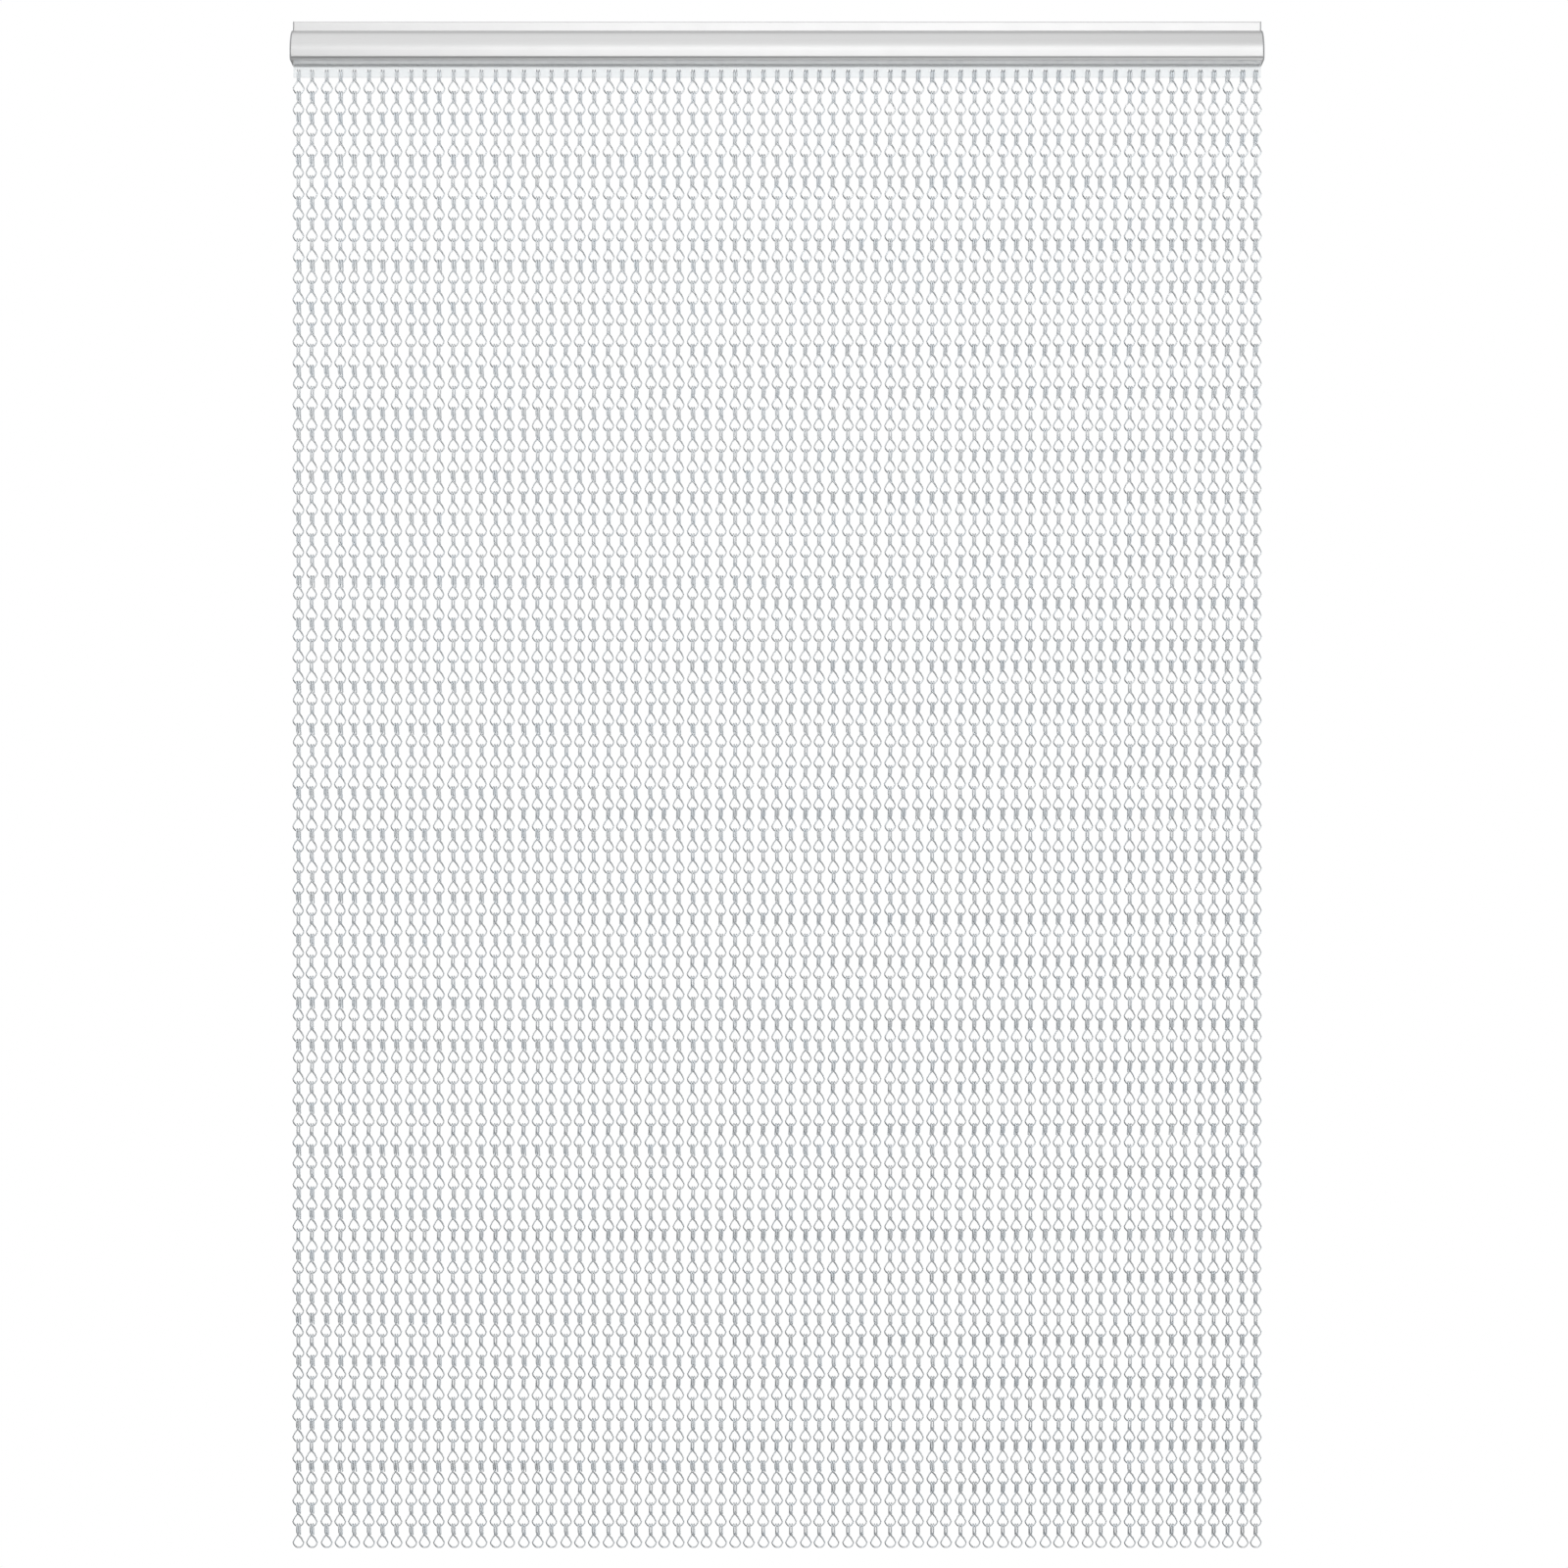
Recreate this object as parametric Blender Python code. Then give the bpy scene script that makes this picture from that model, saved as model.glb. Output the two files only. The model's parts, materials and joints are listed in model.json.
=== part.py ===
"""Aluminium chain curtain for a doorway, about 0.90 m wide and 1.42 m high.

An anodised rail is fixed to the wall above the doorway. A clear plastic strip hangs by its bead in the slot of
the rail, and one strand of wire links hangs from each hole of the strip. Each link is one piece of wire, bent to
a ring, crossed over itself and ended in two hooks that bend backwards over the ring above.

Metres, +Z up. The front faces -Y. The origin is the centre of the rail's back face, which lies on the wall.
Profiles are drawn in the two directions out, away from the wall, and z, upwards, and run along X.
"""

import math

import bmesh
import bpy
from mathutils import Matrix, Vector

# Curtain
CURTAIN_WIDTH = 0.900
STRAND_COUNT = 69
LINKS_PER_STRAND = 70
FIXED_STRANDS_PER_END = 7
FIT_GAP = 0.0003
FUSE_DEPTH = 0.0002

# Rail section
RAIL_HEIGHT = 0.042
RAIL_DEPTH = 0.0215
RAIL_WALL = 0.0014
LIP_HEIGHT = 0.009
LIP_THICKNESS = 0.0015
SHOULDER_HEIGHT = 0.0225
CORNER_RADIUS = 0.004
UNDERSIDE_RISE = 0.0021
SHOULDER_STEPS = 9
CORNER_STEPS = 4

# Bead channel inside the rail, which carries the strip
STRIP_OUT = 0.00675
BEAD_RADIUS = 0.002
CHANNEL_RIB_HEIGHT = 0.0044
CHANNEL_RIB_THICKNESS = 0.0011
BEAD_STEPS = 10

# Hanging strip
STRIP_THICKNESS = 0.001
STRIP_DROP = 0.0113
HOLE_WIDTH = 0.005
HOLE_HEIGHT = 0.0026
HOLE_SEAT_DROP = 0.005

# End caps
CAP_THICKNESS = 0.001
PLUG_LENGTH = 0.008

# Wire link
LINK_PITCH = 0.01954
WIRE_DIAMETER = 0.0015
RING_WIDTH = 0.0113
HOOK_DEPTH = 0.0053
NECK_GAP = 0.0001
CROSSING_DROP = 0.0071
HOOK_TAIL_DROP = 0.0092
WIDEST_RISE = 0.0042
RING_BOTTOM_WIDTH = 0.0056
WIRE_SIDES = 3

# Plain lower length of each strand, as wide as the links' necks
BAR_THICKNESS = 0.003

# A wire of few sides is as high, from a corner to the flat opposite, as the round wire is thick.
WIRE_CORNER_RADIUS = WIRE_DIAMETER / (1 + math.cos(math.pi / WIRE_SIDES))
WIRE_FLAT_RADIUS = WIRE_DIAMETER - WIRE_CORNER_RADIUS

RAIL_TOP = RAIL_HEIGHT / 2
RAIL_BOTTOM = -RAIL_HEIGHT / 2
RAIL_HALF_LENGTH = CURTAIN_WIDTH / 2 - CAP_THICKNESS - FIT_GAP
# The outermost rings end flush with the caps.
STRAND_PITCH = (CURTAIN_WIDTH - RING_WIDTH) / (STRAND_COUNT - 1)
UNDERSIDE_SLOPE = math.atan2(UNDERSIDE_RISE, RAIL_DEPTH)
SLOT_HALF_WIDTH = STRIP_THICKNESS / 2 + FIT_GAP
CHANNEL_HALF_WIDTH = BEAD_RADIUS + FIT_GAP
FRONT_RIB_OUT = STRIP_OUT + CHANNEL_HALF_WIDTH + CHANNEL_RIB_THICKNESS
REAR_RIB_OUT = STRIP_OUT - CHANNEL_HALF_WIDTH - CHANNEL_RIB_THICKNESS

HOOK_RADIUS = (HOOK_DEPTH - WIRE_DIAMETER) / 2
# NECK_GAP lies between the circles round the two wires' sections.
NECK_RADIUS = WIRE_CORNER_RADIUS + NECK_GAP / 2
NECK_WIDTH = 2 * NECK_RADIUS + WIRE_DIAMETER
RING_RADIUS = (RING_WIDTH - WIRE_DIAMETER) / 2
HOOK_CLEARANCE = HOOK_RADIUS - WIRE_FLAT_RADIUS
# The ring above passes through the hook this far over the hook's centre.
HOOK_SEAT_RISE = HOOK_CLEARANCE - FIT_GAP - WIRE_CORNER_RADIUS
SEAT_DROP = LINK_PITCH - HOOK_SEAT_RISE
RING_DROP = math.sqrt(SEAT_DROP**2 - HOOK_RADIUS**2)
LINK_LEAN = math.atan2(HOOK_RADIUS, RING_DROP)

HOLE_SEAT_Z = RAIL_BOTTOM - HOLE_SEAT_DROP
STRIP_BOTTOM = RAIL_BOTTOM - STRIP_DROP
TOP_HOOK_Z = HOLE_SEAT_Z - FUSE_DEPTH - HOOK_CLEARANCE
CHAIN_LENGTH = (LINKS_PER_STRAND - 1) * LINK_PITCH + SEAT_DROP + WIRE_DIAMETER / 2
STRAND_BOTTOM = TOP_HOOK_Z - CHAIN_LENGTH - FIT_GAP

MATERIALS = {
    "anodised": {"color": (0.78, 0.78, 0.78, 1.0), "metallic": 0.9, "roughness": 0.38},
    "wire": {"color": (0.66, 0.70, 0.69, 1.0), "metallic": 1.0, "roughness": 0.30},
    "strip": {"color": (0.86, 0.88, 0.89, 1.0), "metallic": 0.0, "roughness": 0.35},
    "cap": {"color": (0.70, 0.71, 0.72, 1.0), "metallic": 0.0, "roughness": 0.50},
}


def clear_scene():
    """Removes every object of the open scene."""
    for old in list(bpy.data.objects):
        bpy.data.objects.remove(old, do_unlink=True)


def add_material(name, finish):
    """Returns a Principled material of one of the finishes in MATERIALS."""
    look = MATERIALS[finish]
    material = bpy.data.materials.new(name)
    material.use_nodes = True
    shader = material.node_tree.nodes["Principled BSDF"]
    shader.inputs["Base Color"].default_value = look["color"]
    shader.inputs["Metallic"].default_value = look["metallic"]
    shader.inputs["Roughness"].default_value = look["roughness"]
    material.diffuse_color = look["color"]
    return material


def add_object(name, bm, finish, origin=Vector()):
    """Turns a bmesh in world coordinates into a named object whose origin is at the given point."""
    bmesh.ops.recalc_face_normals(bm, faces=bm.faces)
    bmesh.ops.translate(bm, vec=-origin, verts=bm.verts)
    mesh = bpy.data.meshes.new(name)
    bm.to_mesh(mesh)
    bm.free()
    mesh.materials.append(add_material(name, finish))
    thing = bpy.data.objects.new(name, mesh)
    thing.location = origin
    bpy.context.scene.collection.objects.link(thing)
    return thing


def cut_or_join(target, tool, operation):
    """Adds an exact Boolean modifier, and hides its tool."""
    modifier = target.modifiers.new(operation.lower(), "BOOLEAN")
    modifier.operation = operation
    modifier.solver = "EXACT"
    modifier.object = tool
    tool.hide_render = True
    tool.display_type = "WIRE"


def extrude_profile(bm, outline, start_x, end_x):
    """Extrudes a closed outline of (out, z) points along X."""
    corners = [bm.verts.new((start_x, -out, z)) for out, z in outline]
    face = bm.faces.new(corners)
    extruded = bmesh.ops.extrude_face_region(bm, geom=[face])
    moved = [item for item in extruded["geom"] if isinstance(item, bmesh.types.BMVert)]
    bmesh.ops.translate(bm, vec=(end_x - start_x, 0, 0), verts=moved)


def add_box(bm, low, high):
    """Adds a box between two opposite corners."""
    size = high - low
    middle = (low + high) / 2
    place = Matrix.Translation(middle) @ Matrix.Diagonal((*size, 1.0))
    bmesh.ops.create_cube(bm, size=1.0, matrix=place)


def underside(out):
    """Height of the rail's underside, which rises gently from the wall to the front."""
    return RAIL_BOTTOM + out * math.tan(UNDERSIDE_SLOPE)


def slot_lip(out):
    """Height of the upper face of the rail's bottom wall."""
    return underside(out) + RAIL_WALL / math.cos(UNDERSIDE_SLOPE)


def bulge_outline(inset, top_out, bottom_out):
    """Points of the bulge, from the shoulder over the front to the underside, inset by a wall or a clearance.

    The shoulder is a quarter of an ellipse, the front is flat, and an arc leads into the sloping underside.
    """
    shoulder_z = RAIL_TOP - LIP_HEIGHT - SHOULDER_HEIGHT
    semi_out = RAIL_DEPTH - LIP_THICKNESS - inset
    semi_z = SHOULDER_HEIGHT - inset
    first = math.asin((top_out - LIP_THICKNESS) / semi_out)
    points = []
    for step in range(SHOULDER_STEPS + 1):
        angle = first + (math.pi / 2 - first) * step / SHOULDER_STEPS
        points.append((LIP_THICKNESS + semi_out * math.sin(angle), shoulder_z + semi_z * math.cos(angle)))
    corner_out = RAIL_DEPTH - CORNER_RADIUS
    corner_z = underside(corner_out) + CORNER_RADIUS / math.cos(UNDERSIDE_SLOPE)
    sweep = math.pi / 2 - UNDERSIDE_SLOPE
    for step in range(CORNER_STEPS + 1):
        angle = sweep * step / CORNER_STEPS
        reach = CORNER_RADIUS - inset
        points.append((corner_out + reach * math.cos(angle), corner_z - reach * math.sin(angle)))
    points.append((bottom_out, underside(bottom_out) + inset / math.cos(UNDERSIDE_SLOPE)))
    return points


def build_rail():
    """The rail: a flat lip for the screws, a hollow bulge, and a slot with two ribs that hold the strip's bead."""
    slot_front = STRIP_OUT + SLOT_HALF_WIDTH
    slot_rear = STRIP_OUT - SLOT_HALF_WIDTH
    rib_top = slot_lip(STRIP_OUT) + CHANNEL_RIB_HEIGHT
    outline = [(0, RAIL_BOTTOM), (0, RAIL_TOP), (LIP_THICKNESS, RAIL_TOP)]
    outline += bulge_outline(0, LIP_THICKNESS, slot_front)
    outline.append((slot_front, slot_lip(slot_front)))
    front_channel = STRIP_OUT + CHANNEL_HALF_WIDTH
    outline.append((front_channel, slot_lip(front_channel)))
    outline.append((front_channel, rib_top))
    outline.append((FRONT_RIB_OUT, rib_top))
    outline += reversed(bulge_outline(RAIL_WALL, LIP_THICKNESS, FRONT_RIB_OUT))
    outline.append((LIP_THICKNESS, slot_lip(LIP_THICKNESS)))
    outline.append((REAR_RIB_OUT, slot_lip(REAR_RIB_OUT)))
    outline.append((REAR_RIB_OUT, rib_top))
    rear_channel = STRIP_OUT - CHANNEL_HALF_WIDTH
    outline.append((rear_channel, rib_top))
    outline.append((rear_channel, slot_lip(rear_channel)))
    outline.append((slot_rear, slot_lip(slot_rear)))
    outline.append((slot_rear, underside(slot_rear)))
    bm = bmesh.new()
    extrude_profile(bm, outline, -RAIL_HALF_LENGTH, RAIL_HALF_LENGTH)
    rail = add_object("rail_profile", bm, "anodised")
    rail.data.shade_smooth()
    rail.data.set_sharp_from_angle(angle=math.radians(25))


def build_end_cap(name, side):
    """One end cap: a plate of the rail's outline with a plug that fits the bulge. Side is -1 or 1."""
    outline = [(0, RAIL_TOP), (LIP_THICKNESS, RAIL_TOP)]
    outline += bulge_outline(0, LIP_THICKNESS, 0)
    bm = bmesh.new()
    outer_x = CURTAIN_WIDTH / 2
    extrude_profile(bm, outline, side * (outer_x - CAP_THICKNESS), side * outer_x)
    cap = add_object(name, bm, "cap")
    plug_back = FRONT_RIB_OUT + FIT_GAP
    plug_outline = bulge_outline(RAIL_WALL + FIT_GAP, plug_back, plug_back)
    plug_start = outer_x - CAP_THICKNESS / 2
    bm = bmesh.new()
    extrude_profile(bm, plug_outline, side * (plug_start - PLUG_LENGTH), side * plug_start)
    plug = add_object(name + "_plug", bm, "cap")
    cut_or_join(cap, plug, "UNION")


def strand_x(strand):
    """Place of a strand along X, counted from 0 at the left."""
    return (strand - (STRAND_COUNT - 1) / 2) * STRAND_PITCH


def build_strip():
    """The hanging strip: a flat tongue under a round bead, with one hole for each strand."""
    half = STRIP_THICKNESS / 2
    bead_drop = math.sqrt(BEAD_RADIUS**2 - half**2)
    seat_rise = math.sqrt(BEAD_RADIUS**2 - SLOT_HALF_WIDTH**2)
    bead_z = slot_lip(STRIP_OUT + SLOT_HALF_WIDTH) + FIT_GAP + seat_rise
    first = math.atan2(-bead_drop, half)
    turn = math.pi - 2 * first
    outline = [(STRIP_OUT - half, STRIP_BOTTOM), (STRIP_OUT + half, STRIP_BOTTOM)]
    for step in range(BEAD_STEPS + 1):
        angle = first + turn * step / BEAD_STEPS
        outline.append((STRIP_OUT + BEAD_RADIUS * math.cos(angle), bead_z + BEAD_RADIUS * math.sin(angle)))
    bm = bmesh.new()
    extrude_profile(bm, outline, -RAIL_HALF_LENGTH, RAIL_HALF_LENGTH)
    strip = add_object("hanging_strip_and_top_links", bm, "strip")
    bm = bmesh.new()
    for strand in range(STRAND_COUNT):
        low = Vector((strand_x(strand) - HOLE_WIDTH / 2, -STRIP_OUT - STRIP_THICKNESS, HOLE_SEAT_Z))
        high = Vector((strand_x(strand) + HOLE_WIDTH / 2, -STRIP_OUT + STRIP_THICKNESS, HOLE_SEAT_Z + HOLE_HEIGHT))
        add_box(bm, low, high)
    cut_or_join(strip, add_object("strip_holes", bm, "strip"), "DIFFERENCE")
    return strip


def half_link(side):
    """Bends of half a link's wire, from one hook's tip to the far bottom corner of the ring. Side is -1 or 1.

    Each is a point and the direction that one corner of the wire's section turns to, or None where the section is
    carried on from the last bend. The origin is the centre of the hooks. The left hook's wire crosses in front and
    becomes the ring's right side, and the right hook's wire stays in the ring's plane behind it.
    """
    neck_x = side * NECK_RADIUS
    cross_y = -HOOK_RADIUS
    if side < 0:
        cross_y -= WIRE_DIAMETER + FIT_GAP
    widest_z = WIDEST_RISE - RING_DROP
    bottom_x = -side * RING_BOTTOM_WIDTH / 2
    return [
        (Vector((neck_x, HOOK_RADIUS, -HOOK_TAIL_DROP)), Vector((0, 1, 0))),
        (Vector((neck_x, HOOK_RADIUS, HOOK_RADIUS)), None),
        (Vector((neck_x, -HOOK_RADIUS, HOOK_RADIUS)), None),
        (Vector((0, cross_y, -CROSSING_DROP)), Vector((0, -1, 0))),
        (Vector((-side * RING_RADIUS, -HOOK_RADIUS, widest_z)), Vector((side, 0, 0))),
        (Vector((bottom_x, -HOOK_RADIUS, -RING_DROP)), Vector((side, 0, 1))),
    ]


def wire_section(point, before, after, turned_to):
    """Corners of the wire where two straight runs meet, on the plane that halves the angle between them."""
    along = (before + after).normalized()
    toward = (turned_to - along * turned_to.dot(along)).normalized()
    across = along.cross(toward)
    bend = (after - before).normalized()
    stretch = 1 / math.cos(before.angle(after) / 2) - 1
    corners = []
    for side in range(WIRE_SIDES):
        angle = 2 * math.pi * side / WIRE_SIDES
        offset = (toward * math.cos(angle) + across * math.sin(angle)) * WIRE_CORNER_RADIUS
        corners.append(point + offset + bend * offset.dot(bend) * stretch)
    return corners


def half_sections(side):
    """The wire's section at each bend of half a link."""
    bends = half_link(side)
    points = [point for point, _ in bends]
    runs = [(b - a).normalized() for a, b in zip(points, points[1:])]
    runs.append(Vector((side, 0, 0)))
    sections = []
    for index, (point, turned_to) in enumerate(bends):
        before = runs[max(index - 1, 0)]
        after = runs[index]
        if turned_to:
            sections.append(wire_section(point, before, after, turned_to))
        else:
            along = before + after
            reach = [(point - corner).dot(along) / before.dot(along) for corner in sections[-1]]
            sections.append([corner + before * far for corner, far in zip(sections[-1], reach)])
    return sections


def least_twisted(corners, last):
    """The same corners, starting from the one that twists the run from the last section least."""
    turns = [corners[shift:] + corners[:shift] for shift in range(len(corners))]
    return min(turns, key=lambda turn: sum((a - b).length for a, b in zip(turn, last)))


def add_link(bm, hook_centre):
    """Adds one link, leaning so that its two seats hang in line. Its wire runs straight from bend to bend."""
    place = Matrix.Translation(hook_centre) @ Matrix.Rotation(LINK_LEAN, 4, "X")
    sections = half_sections(-1) + [corners[::-1] for corners in reversed(half_sections(1))]
    for index in range(1, len(sections)):
        sections[index] = least_twisted(sections[index], sections[index - 1])
    rings = [[bm.verts.new(place @ corner) for corner in corners] for corners in sections]
    for ring, following in zip(rings, rings[1:]):
        for side in range(WIRE_SIDES):
            other = (side + 1) % WIRE_SIDES
            bm.faces.new((ring[side], ring[other], following[other], following[side]))
    bm.faces.new(rings[0][::-1])
    bm.faces.new(rings[-1])


def add_bar(bm, x, ring_z):
    """Adds the plain bar for the rest of a strand, from the ring's lowest wire down. It is as wide as the necks."""
    top = ring_z + WIRE_CORNER_RADIUS + FUSE_DEPTH
    low = Vector((x - NECK_WIDTH / 2, -STRIP_OUT - BAR_THICKNESS / 2, STRAND_BOTTOM))
    high = Vector((x + NECK_WIDTH / 2, -STRIP_OUT + BAR_THICKNESS / 2, top))
    add_box(bm, low, high)


def join_top_links(strip, fixed):
    """Joins to the strip the top link of every strand and, for the fixed strands, all that hangs from it."""
    links = bmesh.new()
    second_links = bmesh.new()
    bars = bmesh.new()
    second_hook_z = TOP_HOOK_Z - LINK_PITCH - FIT_GAP - FUSE_DEPTH
    for strand in range(STRAND_COUNT):
        add_link(links, Vector((strand_x(strand), -STRIP_OUT, TOP_HOOK_Z)))
    for strand in fixed:
        add_link(second_links, Vector((strand_x(strand), -STRIP_OUT, second_hook_z)))
        add_bar(bars, strand_x(strand), second_hook_z - SEAT_DROP)
    cut_or_join(strip, add_object("top_links", links, "wire"), "UNION")
    cut_or_join(strip, add_object("fixed_second_links", second_links, "wire"), "UNION")
    cut_or_join(strip, add_object("fixed_bars", bars, "wire"), "UNION")


def strand_mesh(seat):
    """Mesh of a moving strand, about the seat on which it swings: one true link and a plain bar."""
    bm = bmesh.new()
    hook_centre = seat - Vector((0, 0, HOOK_SEAT_RISE))
    add_link(bm, hook_centre)
    link = add_object("strand_link", bm, "wire", seat)
    bm = bmesh.new()
    add_bar(bm, seat.x, hook_centre.z - SEAT_DROP)
    bar = add_object("strand_bar", bm, "wire", seat)
    cut_or_join(bar, link, "UNION")
    whole = bar.evaluated_get(bpy.context.evaluated_depsgraph_get())
    mesh = bpy.data.meshes.new_from_object(whole)
    bpy.data.objects.remove(bar)
    bpy.data.objects.remove(link)
    return mesh


def build_strands(strip):
    """All strands. Those at both ends are joined to the strip, and each of the others swings on its top link."""
    moving = range(FIXED_STRANDS_PER_END, STRAND_COUNT - FIXED_STRANDS_PER_END)
    join_top_links(strip, [strand for strand in range(STRAND_COUNT) if strand not in moving])
    seat = Vector((0, -STRIP_OUT, TOP_HOOK_Z - SEAT_DROP))
    shared = strand_mesh(seat)
    for strand in moving:
        name = f"strand_{strand + 1:02d}"
        mesh = shared.copy()
        mesh.materials.clear()
        mesh.materials.append(add_material(name, "wire"))
        swinging = bpy.data.objects.new(name, mesh)
        swinging.location = seat + Vector((strand_x(strand), 0, 0))
        swinging.parent = strip
        bpy.context.scene.collection.objects.link(swinging)


clear_scene()
build_rail()
build_end_cap("end_cap_left", -1)
build_end_cap("end_cap_right", 1)
build_strands(build_strip())
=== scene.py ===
"""Looks of the aluminium chain curtain: rail, end caps, hanging strip and 69 strands of wire links.

Metres, +Z up, front towards -Y. The origin is the centre of the rail's back face. Profiles are drawn in the
two directions out, away from the wall, and z, upwards. The file follows the curtain as it is put together.
"""

import json
import math

import bpy
import numpy as np
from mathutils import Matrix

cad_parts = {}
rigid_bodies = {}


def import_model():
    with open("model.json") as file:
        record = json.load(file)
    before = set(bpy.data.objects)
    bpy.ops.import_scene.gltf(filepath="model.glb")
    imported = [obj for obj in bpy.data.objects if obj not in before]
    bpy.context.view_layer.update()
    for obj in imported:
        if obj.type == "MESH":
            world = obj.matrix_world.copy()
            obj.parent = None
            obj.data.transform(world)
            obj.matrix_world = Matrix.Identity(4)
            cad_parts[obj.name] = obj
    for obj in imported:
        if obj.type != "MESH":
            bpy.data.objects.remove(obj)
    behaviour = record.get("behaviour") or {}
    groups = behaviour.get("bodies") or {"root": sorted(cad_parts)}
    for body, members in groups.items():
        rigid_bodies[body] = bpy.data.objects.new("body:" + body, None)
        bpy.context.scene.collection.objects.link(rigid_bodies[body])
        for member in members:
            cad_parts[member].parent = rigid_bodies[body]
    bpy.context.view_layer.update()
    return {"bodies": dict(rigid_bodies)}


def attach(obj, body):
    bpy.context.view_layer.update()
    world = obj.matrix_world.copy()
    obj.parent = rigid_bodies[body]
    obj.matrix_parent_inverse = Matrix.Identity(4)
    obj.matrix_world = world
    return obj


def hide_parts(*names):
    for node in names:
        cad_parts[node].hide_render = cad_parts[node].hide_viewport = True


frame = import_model()


# RAIL. One aluminium extrusion, satin anodised, cut to the doorway's width. Its flat lip is screwed to the
# wall above the doorway, and the slot in the underside of its rounded hollow bulge holds the strip.

CURTAIN_WIDTH = 0.900
CAP_THICKNESS = 0.001
FIT_GAP = 0.0003
RAIL_TOP = 0.021
RAIL_BOTTOM = -0.021
RAIL_DEPTH = 0.0215
RAIL_WALL = 0.0014
LIP_HEIGHT = 0.009
LIP_THICKNESS = 0.0015
LIP_ROUND = 0.0012
SHOULDER_HEIGHT = 0.0225
CORNER_RADIUS = 0.004
UNDERSIDE_SLOPE = math.atan2(0.0021, RAIL_DEPTH)
STRIP_OUT = 0.00675
STRIP_THICKNESS = 0.001
BEAD_RADIUS = 0.002
RIB_HEIGHT = 0.0044
RIB_THICKNESS = 0.0011
RAIL_HALF_LENGTH = CURTAIN_WIDTH / 2 - CAP_THICKNESS - FIT_GAP
SHOULDER_POINTS = 49
CORNER_POINTS = 17
LIP_POINTS = 7


def underside(out):
    """Height of the rail's underside: a straight slope that rises from the wall to the front."""
    return RAIL_BOTTOM + out * math.tan(UNDERSIDE_SLOPE)


def slot_lip(out):
    """Height of the bottom wall's upper face: the underside raised by the wall, square to the slope."""
    return underside(out) + RAIL_WALL / math.cos(UNDERSIDE_SLOPE)


def bulge_curve(inset, top_out, bottom_out):
    """Points (out, z) of the bulge, inset by a wall or a clearance.

    The shoulder is a quarter of an ellipse: out goes with the sine and z with the cosine of one angle.
    Below its flat front an arc of the corner's radius turns through the angle between the front and the
    sloping underside.
    """
    semi_out = RAIL_DEPTH - LIP_THICKNESS - inset
    semi_z = SHOULDER_HEIGHT - inset
    first = math.asin((top_out - LIP_THICKNESS) / semi_out)
    turn = np.linspace(first, math.pi / 2, SHOULDER_POINTS)
    shoulder_z = RAIL_TOP - LIP_HEIGHT - SHOULDER_HEIGHT
    shoulder_out = LIP_THICKNESS + semi_out * np.sin(turn)
    shoulder = np.column_stack((shoulder_out, shoulder_z + semi_z * np.cos(turn)))
    corner_out = RAIL_DEPTH - CORNER_RADIUS
    corner_z = underside(corner_out) + CORNER_RADIUS / math.cos(UNDERSIDE_SLOPE)
    turn = np.linspace(0, math.pi / 2 - UNDERSIDE_SLOPE, CORNER_POINTS)
    reach = CORNER_RADIUS - inset
    corner = np.column_stack((corner_out + reach * np.cos(turn), corner_z - reach * np.sin(turn)))
    last = (bottom_out, underside(bottom_out) + inset / math.cos(UNDERSIDE_SLOPE))
    return np.vstack((shoulder, corner, [last]))


def mesh_piece(name, points, faces, material, smooth_below):
    """A piece from arrays of points and faces, smooth where its faces meet at less than the given angle."""
    mesh = bpy.data.meshes.new(name)
    mesh.from_pydata(points, [], faces)
    mesh.update()
    mesh.shade_smooth()
    mesh.set_sharp_from_angle(angle=math.radians(smooth_below))
    mesh.materials.append(material)
    piece = bpy.data.objects.new(name, mesh)
    bpy.context.scene.collection.objects.link(piece)
    return piece


def extrusion(outline, stations):
    """Points and faces of a closed outline (out, z) carried along X through the given stations, with both
    ends shut.

    Point number station times outline length plus corner has the station's x, minus out as y, and z. The
    outline is turned round where its signed area, the sum of the cross products of its edges, would point
    the faces inwards.
    """
    outline = np.asarray(outline, float)
    after = np.roll(outline, -1, axis=0)
    area = np.sum(outline[:, 0] * after[:, 1] - after[:, 0] * outline[:, 1])
    if area > 0:
        outline = outline[::-1]
    corners, count = len(outline), len(stations)
    points = np.empty((count, corners, 3))
    points[:, :, 0] = np.asarray(stations)[:, None]
    points[:, :, 1] = -outline[:, 0]
    points[:, :, 2] = outline[:, 1]
    here = np.arange(corners)
    there = np.roll(here, -1)
    start = np.arange(count - 1)[:, None] * corners
    sides = np.stack((start + here, start + here + corners, start + there + corners, start + there), axis=-1)
    first = list(range(corners))
    last = [corner + (count - 1) * corners for corner in reversed(first)]
    return points.reshape(-1, 3), sides.reshape(-1, 4).tolist() + [first, last]


def edge_round(piece, width):
    """Breaks the sharp edges of a piece with a narrow rounded bevel."""
    bevel = piece.modifiers.new("edge_round", "BEVEL")
    bevel.width = width
    bevel.segments = 2
    bevel.limit_method = "ANGLE"
    bevel.angle_limit = math.radians(40)
    bevel.harden_normals = True


def add_group(name, inputs, outputs):
    """An empty shader node group with named inputs, given with their starting values, and named outputs."""
    group = bpy.data.node_groups.new(name, "ShaderNodeTree")
    for socket, start in inputs.items():
        made = group.interface.new_socket(socket, in_out="INPUT", socket_type="NodeSocketFloat")
        made.default_value = start
    for socket in outputs:
        group.interface.new_socket(socket, in_out="OUTPUT", socket_type="NodeSocketFloat")
    return group


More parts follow.
